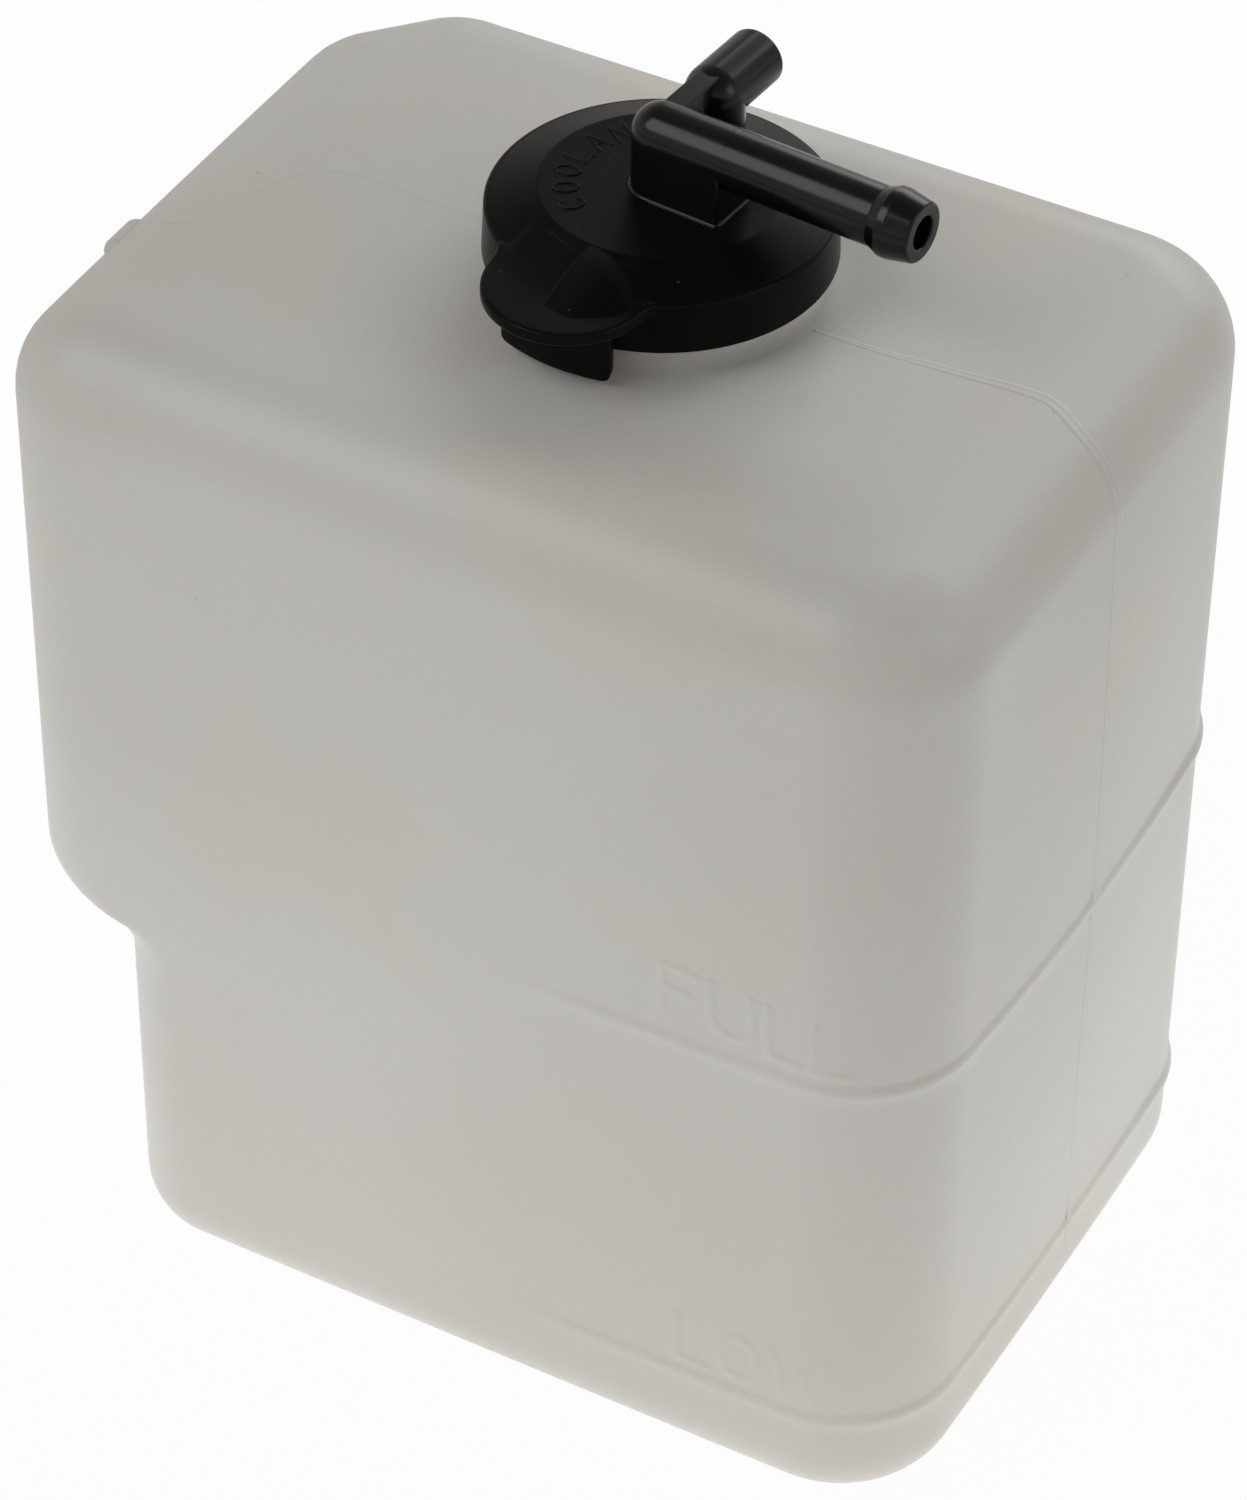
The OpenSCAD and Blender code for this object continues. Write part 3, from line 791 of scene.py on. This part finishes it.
def strip_section(half, sink):
    """A section from its right half, given from the flank to the middle.

    The columns are the place across, the height above the skin, and the
    depth of the closing face below the flanks' ends in millimetres.
    """
    right = [(1.3, -sink), *half]
    left = [(-across, up) for across, up in right[::-1] if across > 0]
    foot = [(-1.3, -sink, 0.3), (1.3, -sink, 0.3)]
    return np.array(foot + [(across, up, 0) for across, up in right + left])


RIDGE = strip_section([(0.95, 0.05), (0.7, 0.5), (0.35, 0.88), (0, 1)], 0.7)
SEAM = strip_section([(0.95, 0.05), (0.72, 0.8), (0.5, 1), (0.25, 0.65), (0, 0.45)], 1.15)


def on_the_skin(guides, step=0.6):
    """Evenly spaced places on the bottle's skin along a guide line.

    The guide line is smoothed before each place is looked up.
    """
    guides = np.array(guides, float)
    run = np.concatenate([[0], np.cumsum(np.linalg.norm(np.diff(guides, axis=0), axis=1))])
    at = np.linspace(0, run[-1], max(8, int(run[-1] / step)))
    dense = np.stack([np.interp(at, run, guides[:, k]) for k in range(3)], axis=1)
    for _ in range(60):
        dense[1:-1] = (dense[:-2] + dense[1:-1] + dense[2:]) / 3
    found = [skin.find_nearest(tuple(point / 1000)) for point in dense]
    return np.array([f[0] for f in found]) * 1000, np.array([f[1] for f in found])


def strip(name, guides, half_width, height, taper=1.5, section=RIDGE):
    """A low ridge along a path, thinning out over taper at both ends."""
    at, normal = on_the_skin(guides)
    for _ in range(3):
        at[1:-1] = (at[:-2] + 2 * at[1:-1] + at[2:]) / 4
        normal[1:-1] = (normal[:-2] + 2 * normal[1:-1] + normal[2:]) / 4
    along = np.gradient(at, axis=0)
    side = np.cross(normal, along)
    side /= np.linalg.norm(side, axis=1, keepdims=True)
    normal /= np.linalg.norm(normal, axis=1, keepdims=True)
    run = np.concatenate([[0], np.cumsum(np.linalg.norm(np.diff(at, axis=0), axis=1))])
    swell = np.clip(np.minimum(run, run[-1] - run) / taper, 0, 1) ** 0.5 * 0.94 + 0.06
    out = section[:, 1] * height - section[:, 2]
    rings = (
        at[:, None] + section[None, :, 0, None] * (half_width * swell)[:, None, None] * side[:, None]
        + out[None, :, None] * swell[:, None, None] * normal[:, None]
    )
    return skin_through(name, rings, milky.material, "tank")


# %% Make the seams and the pinch-off ridge
RIGHT_GUIDES = [
    (80, 2.5, 10), (80, 2.3, 18), (80, 1, 45), (80, 0.8, 148), (80, 1.1, 160), (73, 1.4, 170),
    (66, 2.4, 172), (60, 4.2, 172), (52, 3.3, 172), (38, 1.8, 168), (31, 1.3, 164), (26, 1.3, 164)]
LEFT_GUIDES = [
    (-21, 1.8, 164), (-27, 1.8, 164), (-34, 1.8, 168), (-42, 3.0, 172), (-48.8, 2.4, 172), (-52.5, -1.4, 172),
    (-54.5, -7.2, 172), (-56.1, -15.2, 172), (-59.2, -19.2, 172), (-66, -19, 170), (-75, -17.5, 165)]
STEP_GUIDES = [(-73, -26, 158), (-76, -26, 145), (-74, -25, 90), (-73, -24, 79), (-67, -23, 67)]
strip("seam_right", RIGHT_GUIDES, 1.2, 0.09, 45, SEAM)
strip("seam_left", LEFT_GUIDES, 0.6, 0.06, 4, SEAM)
strip("pinch_off", [(-76.5, -15.4, 163.4), (-76.5, -23.4, 163.4)], 1.8, 0.98, 1.2)
strip("seam_step", STEP_GUIDES, 0.35, 0.06)
strip("seam_low_left", [(-62, -22, 60), (-62, -22, 12)], 0.35, 0.12)

# %% [markdown]
# ## The cap
# The cap sits on the neck a few degrees out of square. Its pieces are
# worked out in its own frame, with the long nipple along X, and turned
# into place together. The disc is a lathe shape: from the middle of its
# underside out round the sealing ring and the skirt, and back over the
# sloping top to the raised middle.

# %% Set the cap's sizes and its frame
CAP_TURN = math.radians(-4.8)
CAP_EDGE_Z, CROWN_Z, NIPPLE_Z = 174.7, 177.2, 185.5
SLOPE_IN_R, SLOPE_OUT_R, SLOPE_OUT_Z = 16.4, 22.6, CAP_EDGE_Z + 0.2
SKIRT_Z, SKIRT_R, SKIRT_IN = 167.2, 23.75, 21.95
UNDER_Z, SEAT_Z = 175.2, 172.7
NIPPLE_R, BORE_R, SPLIT_AT, SPLIT_OUT = 4.15, 2.3, 11.05, 0.04


def on_neck(rings):
    """Turns rings from the cap's own frame into their place on the neck."""
    c, s = math.cos(CAP_TURN), math.sin(CAP_TURN)
    x, y, z = rings[..., 0], rings[..., 1], rings[..., 2]
    return np.stack([NECK_AT[0] + c * x - s * y, NECK_AT[1] + s * x + c * y, z], axis=-1)


def cap_piece(name, rings, material, closed=False):
    """A piece of the cap, from rings in the cap's own frame."""
    return skin_through(name, on_neck(rings), material, "cap", closed)


X, Y, Z = (1, 0, 0), (0, 1, 0), (0, 0, 1)

# %% Make the disc of the cap
disc_line = rounded([
    (0.4, UNDER_Z, 0), (13.7, UNDER_Z, 0.5), (15.2, SEAT_Z, 0.4), (15.2, 168.7, 0.3), (16.2, 168.7, 0.3),
    (16.7, 169.7, 0.3), (16.7, SEAT_Z, 0.3), (SKIRT_IN, SEAT_Z, 0.5), (SKIRT_IN, 168.9, 0.2), (20.6, 168.3, 0.2),
    (20.6, 167.9, 0.2), (SKIRT_IN - 0.1, SKIRT_Z, 0.2), (SKIRT_R, SKIRT_Z, 0.3), (SKIRT_R - 0.3, CAP_EDGE_Z, 0.7),
    (SLOPE_OUT_R, SLOPE_OUT_Z, 0.5), (SLOPE_IN_R, CROWN_Z, 1.2), (0.4, CROWN_Z, 0)], 7)
cap_disc = cap_piece("cap_disc", turned(disc_line, (0, 0, 0), X, Y, Z, 180), cap_matte)
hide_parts("cap")

# %% [markdown]
# A raised word runs round the left of the plateau and says what the cap
# shuts in. Its letters are drawn as strokes in a box that is 1 wide and 1
# high, and bent round the cap. They rise out of a patch that lies just
# below the plateau's surface.

# %% Make the word on the cap
ROUND_LETTERS = {
    "C": [[(0.95, 0.8), (0.75, 0.96), (0.5, 1), (0.15, 0.85), (0, 0.5),
           (0.15, 0.15), (0.5, 0), (0.75, 0.04), (0.95, 0.2)]],
    "O": [[(0.5, 1), (0.15, 0.85), (0, 0.5), (0.15, 0.15), (0.5, 0),
           (0.85, 0.15), (1, 0.5), (0.85, 0.85), (0.5, 1)]],
    "L": [[(0, 1), (0, 0), (1, 0)]],
    "A": [[(0, 0), (0.5, 1), (1, 0)], [(0.2, 0.38), (0.8, 0.38)]],
    "N": [[(0, 0), (0, 1), (1, 0), (1, 1)]],
    "T": [[(0, 1), (1, 1)], [(0.5, 1), (0.5, 0)]],
}
CAP_WORD, WORD_FROM, WORD_STEP = "COOLANT", math.radians(-124.5), math.radians(-17.4)
WORD_FOOT_R, WORD_TOP_R, LETTER_SPAN = 10.9, 14.4, 2.2
PATCH_SINK, PATCH_MARGIN, CAP_WORD_OUT, CAP_STROKE_EDGE = 0.06, 0.45, 0.24, (0.05, 0.3)


def cap_word_rings():
    """Cross-sections of the patch, one at each angle."""
    turn = WORD_FROM + np.linspace(0.2, -0.2 + (len(CAP_WORD) - 1) * WORD_STEP, 300)
    r = np.linspace(WORD_TOP_R + PATCH_MARGIN, WORD_FOOT_R - PATCH_MARGIN, 52)
    turns, radii = np.meshgrid(turn, r, indexing="ij")
    nearest = np.full(turns.shape, np.inf)
    for n, letter in enumerate(CAP_WORD):
        aside = -(turns - WORD_FROM - n * WORD_STEP) * radii + LETTER_SPAN / 2
        above = radii - WORD_FOOT_R
        for stroke in ROUND_LETTERS[letter]:
            line = [(px * LETTER_SPAN, pz * (WORD_TOP_R - WORD_FOOT_R)) for px, pz in stroke]
            for a, b in zip(line[:-1], line[1:]):
                nearest = np.minimum(nearest, distance_to_segment(aside, above, a, b))
    z = CROWN_Z - PATCH_SINK + CAP_WORD_OUT * (1 - smooth_step(*CAP_STROKE_EDGE, nearest))
    top = np.stack([radii * np.cos(turns), radii * np.sin(turns), z], axis=-1)
    under = top[:, [-1, 0]] * (1, 1, 0) + (0, 0, CROWN_Z - 0.8)
    return np.concatenate([top, under], axis=1)


cap_piece("cap_word", cap_word_rings(), cap_matte)

# %% [markdown]
# The finger tab is a round plate that grows out of the rim, with small
# hollow fillets where the two meet. Its outline is found on each spoke
# from the tab's middle, as the place where a smooth union of the two
# circles ends. Its upper face runs on from the disc's slope. A pad for
# the thumb bulges out of that slope beside a crest along the tab's middle.

# %% Make the finger tab
TAB_R, TAB_AT, TAB_TOP, TAB_T, TAB_EDGE = 11.4, 21.9, 174.4, 1.9, 0.55
TAB_ROOT_R, TAB_HALF, TAB_BLEND, TAB_SOFT, TAB_DIP = 17.6, 12.4, 5.0, 0.6, 0.35


def tab_outline(columns=160):
    """Reach of the tab's edge on each spoke from its middle.

    It is found by halving: each spoke starts inside the union and ends
    outside it. The union stops at TAB_ROOT_R under the disc and at
    TAB_HALF to both sides.
    """
    t = np.arange(columns) * 2 * np.pi / columns
    low, high = np.full(columns, 2.0), np.full(columns, 24.0)
    for _ in range(40):
        reach = (low + high) / 2
        x, y = reach * np.cos(t), reach * np.sin(t) - TAB_AT
        tab = reach - TAB_R
        rim = np.hypot(x, y) - (SKIRT_R - 0.4)
        blend = np.clip(0.5 + (rim - tab) / TAB_BLEND, 0, 1)
        field = rim * (1 - blend) + tab * blend - TAB_BLEND / 2 * blend * (1 - blend)
        inside = (field < 0) & (np.hypot(x, y) > TAB_ROOT_R) & (np.abs(x) < TAB_HALF)
        low, high = np.where(inside, reach, low), np.where(inside, high, reach)
    return t, low


def tab_lift(x, y):
    """How far the tab's upper face rises above its level outer part.

    It follows the disc's slope, with a soft change to level where the
    slope ends, and sinks under the disc at both sides.
    """
    r = np.hypot(x, y)
    fall = (CROWN_Z - SLOPE_OUT_Z) / (SLOPE_OUT_R - SLOPE_IN_R)
    slope_z = CROWN_Z + 0.03 - (r - SLOPE_IN_R) * fall
    at_sides = smooth_step(9.0, TAB_HALF, np.abs(x)) * (1 - smooth_step(22.4, 23.6, r))
    return TAB_SOFT * np.logaddexp(0, (slope_z - TAB_TOP) / TAB_SOFT) - TAB_DIP * at_sides


def tab_rings():
    """Rings of the tab: its underside, its rounded edge, its upper face."""
    angle, reach = tab_outline()
    turn = np.linspace(0, math.pi / 2, 7)
    edge_in = TAB_EDGE * np.concatenate([1 - np.sin(turn), 1 - np.cos(turn)])
    edge_up = np.concatenate([TAB_EDGE * (1 - np.cos(turn)) - TAB_T, TAB_EDGE * (np.sin(turn) - 1)])
    under = np.outer([0.02, 0.5, 0.9], reach)
    upper = np.outer(np.linspace(0.97, 0.02, 30), reach - TAB_EDGE)
    r = np.concatenate([under, reach - edge_in[:, None], upper])
    z = TAB_TOP + np.concatenate([np.full(len(under), -TAB_T), edge_up, np.zeros(len(upper))])[:, None]
    x, y = r * np.cos(angle), r * np.sin(angle) - TAB_AT
    return np.stack([x, y, z + np.where(z > TAB_TOP - TAB_EDGE - 0.01, tab_lift(x, y), 0)], axis=-1)


cap_piece("cap_tab", tab_rings(), cap_matte)

# %% Make the thumb pad
PAD_TOP_AT, PAD_FOOT_Z, PAD_RISE = (-0.2, -15.6), 174.2, 2.95


def pad_rings(rows=26):
    """Bulge that shrinks toward its top, with one upright side."""
    shape = rounded([
        (-0.2, -15.6, 0), (-0.2, -28.2, 0.8), (4.8, -28.8, 4.5), (10.6, -24.5, 4.0), (11.8, -15.6, 3.0),
        (6.0, -14.6, 0), (-0.2, -15.6, 0)], 12)[:-1]
    share = np.sin(np.linspace(math.pi / 2, 0.02, rows))
    height = PAD_FOOT_Z + PAD_RISE * (1 - share**2.1)
    x = PAD_TOP_AT[0] + share[:, None] * (shape[None, :, 0] - PAD_TOP_AT[0])
    y = PAD_TOP_AT[1] + share[:, None] * (shape[None, :, 1] - PAD_TOP_AT[1])
    return np.stack([x, y, np.broadcast_to(height[:, None], x.shape)], axis=-1)


cap_piece("thumb_pad", pad_rings(), cap_matte)

# %% [markdown]
# A curved lip hangs below the tab, so that a finger can pull the cap off.
# Its cross-section is a thin rounded bar that is carried round the cap,
# and its two lower corners are rounded by lifting the bar's foot there.

# %% Make the lip
LIP_R, LIP_T, LIP_TOP, LIP_FOOT, LIP_HALF = 26.4, 1.9, 173.4, 163.7, math.radians(19.2)
LIP_CORNER, LIP_STRAIGHT = 1.3, 168.0


def lip_rings(count=60):
    """Cross-sections from one end of the lip to the other.

    The foot is lifted by the corner's arc, and the part of the bar above
    LIP_STRAIGHT stays where it is. Both ends are thinned a little.
    """
    phi = np.linspace(-LIP_HALF, LIP_HALF, count)
    from_end = (LIP_HALF - np.abs(phi)) * LIP_R
    lift = LIP_CORNER - np.sqrt(np.clip(LIP_CORNER**2 - np.clip(LIP_CORNER - from_end, 0, None) ** 2, 0, None))
    bar = rounded([
        (LIP_R, LIP_TOP, 0), (LIP_R - LIP_T, LIP_TOP, 0), (LIP_R - LIP_T, LIP_FOOT, 0.4),
        (LIP_R, LIP_FOOT, 0.4), (LIP_R, LIP_TOP, 0)], 6)[:-1]
    thin = 1 - 0.35 * (1 - smooth_step(0, 0.35, from_end))
    middle = LIP_R - LIP_T / 2
    radius = middle + (bar[None, :, 0] - middle) * thin[:, None]
    foot_share = np.clip((LIP_STRAIGHT - bar[:, 1]) / (LIP_STRAIGHT - LIP_FOOT), 0, 1)
    z = bar[None, :, 1] + lift[:, None] * foot_share[None]
    turn = -math.pi / 2 + phi[:, None]
    return np.stack([radius * np.cos(turn), radius * np.sin(turn), z], axis=-1)


cap_piece("cap_lip", lip_rings(), cap_matte)

# %% [markdown]
# ## The nipples
# Both nipples are tubes on posts that grow out of the cap. Each barrel is
# a lathe shape that starts with a round elbow and ends in its bore. The
# long one has a barb for a clamped hose and a wall below it; the short
# one is plain, and a web joins the two posts. The posts, the wall and the
# web flare where they meet the disc.

# %% Make the barrels


def barrel_line(reach, barb_r=None, barb_back=None):
    """Elbow, barrel and bore of a nipple along its axis.

    With a barb there is also the mould's split line round the barrel.
    """
    t = np.linspace(0.05, math.pi / 2, 14)
    elbow = np.column_stack([NIPPLE_R * np.sin(t), -NIPPLE_R * np.cos(t)])
    corners = [(NIPPLE_R, 0, 0)]
    if barb_r:
        at = reach - barb_back
        corners += [
            (NIPPLE_R, SPLIT_AT - 0.15, 0), (NIPPLE_R + SPLIT_OUT, SPLIT_AT, 0), (NIPPLE_R, SPLIT_AT + 0.15, 0),
            (NIPPLE_R, at - 1.6, 0.8), (barb_r, at, 0.3), (barb_r, at + 1.0, 0.5)]
    corners += [
        (NIPPLE_R, reach, 0.45), (BORE_R, reach, 0.3), (BORE_R, reach * 0.45, 0.2), (0.3, reach * 0.45 - 1, 0)]
    return np.vstack([elbow, rounded(corners, 8)[1:]])


LONG_REACH, BARB_R, BARB_BACK = 39.8, 4.85, 4.7
SHORT_REACH, SHORT_POST, SHORT_OFF = 21.7, 11.4, 0.7
long_line = barrel_line(LONG_REACH, BARB_R, BARB_BACK)
short_line = barrel_line(SHORT_REACH - SHORT_POST)
cap_piece("long_nipple", turned(long_line, (0, 0, NIPPLE_Z), Y, Z, X), cap_gloss)
cap_piece("short_nipple", turned(short_line, (SHORT_OFF, SHORT_POST, NIPPLE_Z), Z, X, Y), cap_gloss)

# %% Make the posts, the wall and the web


def post_line(top):
    """An upright post with a flared foot."""
    return rounded([
        (0.3, CROWN_Z - 1, 0), (NIPPLE_R + 0.6, CROWN_Z - 1, 0), (NIPPLE_R + 0.5, CROWN_Z, 0),
        (NIPPLE_R, CROWN_Z, 0.4), (NIPPLE_R, top, 0), (0.3, top, 0)], 8)


BLOCK_CORNER, BLOCK_FOOT, BLOCK_EDGE = 0.35, 0.35, 0.3


def standing_wall(x0, x1, y0, y1, top):
    """An upright block with rounded corners and a flared foot.

    Each ring is the block's outline, moved out by the foot's flare below
    and moved in by the rounding of its upper edge. Each corner has one
    more point HOLD beyond both ends of its arc, on the flat faces.
    """
    t = np.linspace(0, math.pi / 2, 6)
    z = np.concatenate([
        [CROWN_Z - 0.8], CROWN_Z + BLOCK_FOOT * (1 - np.cos(t)), top - BLOCK_EDGE * (1 - np.sin(t)), [top]])
    out = np.concatenate([
        [BLOCK_FOOT], BLOCK_FOOT * (1 - np.sin(t)), -BLOCK_EDGE * (1 - np.cos(t)), [-BLOCK_EDGE - HOLD]])
    out, z = held(np.column_stack([out, z])).T
    arc = np.linspace(0, math.pi / 2, 7)
    arc = np.concatenate([arc[:1], arc, arc[-1:]])
    turn = np.concatenate([arc + k * math.pi / 2 for k in range(4)])
    slide = np.tile(np.concatenate([[-HOLD], np.zeros(7), [HOLD]]), 4)
    left, right = x0 + BLOCK_CORNER, x1 - BLOCK_CORNER
    front, back = y0 + BLOCK_CORNER, y1 - BLOCK_CORNER
    centre_x = np.repeat([right, left, left, right], len(arc))
    centre_y = np.repeat([back, back, front, front], len(arc))
    reach = BLOCK_CORNER + out[:, None]
    x = centre_x + reach * np.cos(turn) - slide * np.sin(turn)
    y = centre_y + reach * np.sin(turn) + slide * np.cos(turn)
    return np.stack([x, y, np.broadcast_to(z[:, None], x.shape)], axis=-1)


cap_piece("long_post", turned(post_line(NIPPLE_Z), (0, 0, 0), X, Y, Z, 72), cap_gloss)
cap_piece("short_post", turned(post_line(NIPPLE_Z), (SHORT_OFF, SHORT_POST, 0), X, Y, Z, 72), cap_gloss)
cap_piece("long_wall", standing_wall(-0.35, 11.15, -NIPPLE_R, NIPPLE_R, NIPPLE_Z + 0.3), cap_gloss)
cap_piece("web", standing_wall(-1.0, 2.2, 0, SHORT_POST, 189.2), cap_gloss)

# %% [markdown]
# ## The dip tube
# A soft black tube is pushed onto the spigot below the disc and ends just
# above the floor of the bottle. It shows only when the cap is off.

# %% Make the dip tube and its spigot
TUBE_R, TUBE_BORE_R, TUBE_FOOT = 4.5, 3.0, 11.2
tube_line = rounded([
    (TUBE_BORE_R, 174.0, 0), (TUBE_BORE_R, TUBE_FOOT, 0.3), (TUBE_R, TUBE_FOOT, 0.3), (TUBE_R, 175.1, 0.3),
    (TUBE_BORE_R, 175.1, 0.3), (TUBE_BORE_R, 174.0, 0)], 5)[:-1]
tube_rings = turned(tube_line, (0, 0, 0), X, Y, Z, 64)
dip_tube = skin_through("dip_tube_skin", on_neck(tube_rings), tube_black, "cap", closed=True)
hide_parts("dip_tube")
spigot_line = rounded([(1.9, 163.5, 0), (1.9, 162.4, 0.2), (2.7, 162.4, 0.2), (2.95, 163.4, 0.2),
                       (2.95, 175.4, 0), (1.9, 175.4, 0), (1.9, 163.5, 0)], 5)[:-1]
cap_piece("cap_spigot", turned(spigot_line, (0, 0, 0), X, Y, Z, 48), cap_matte, closed=True)
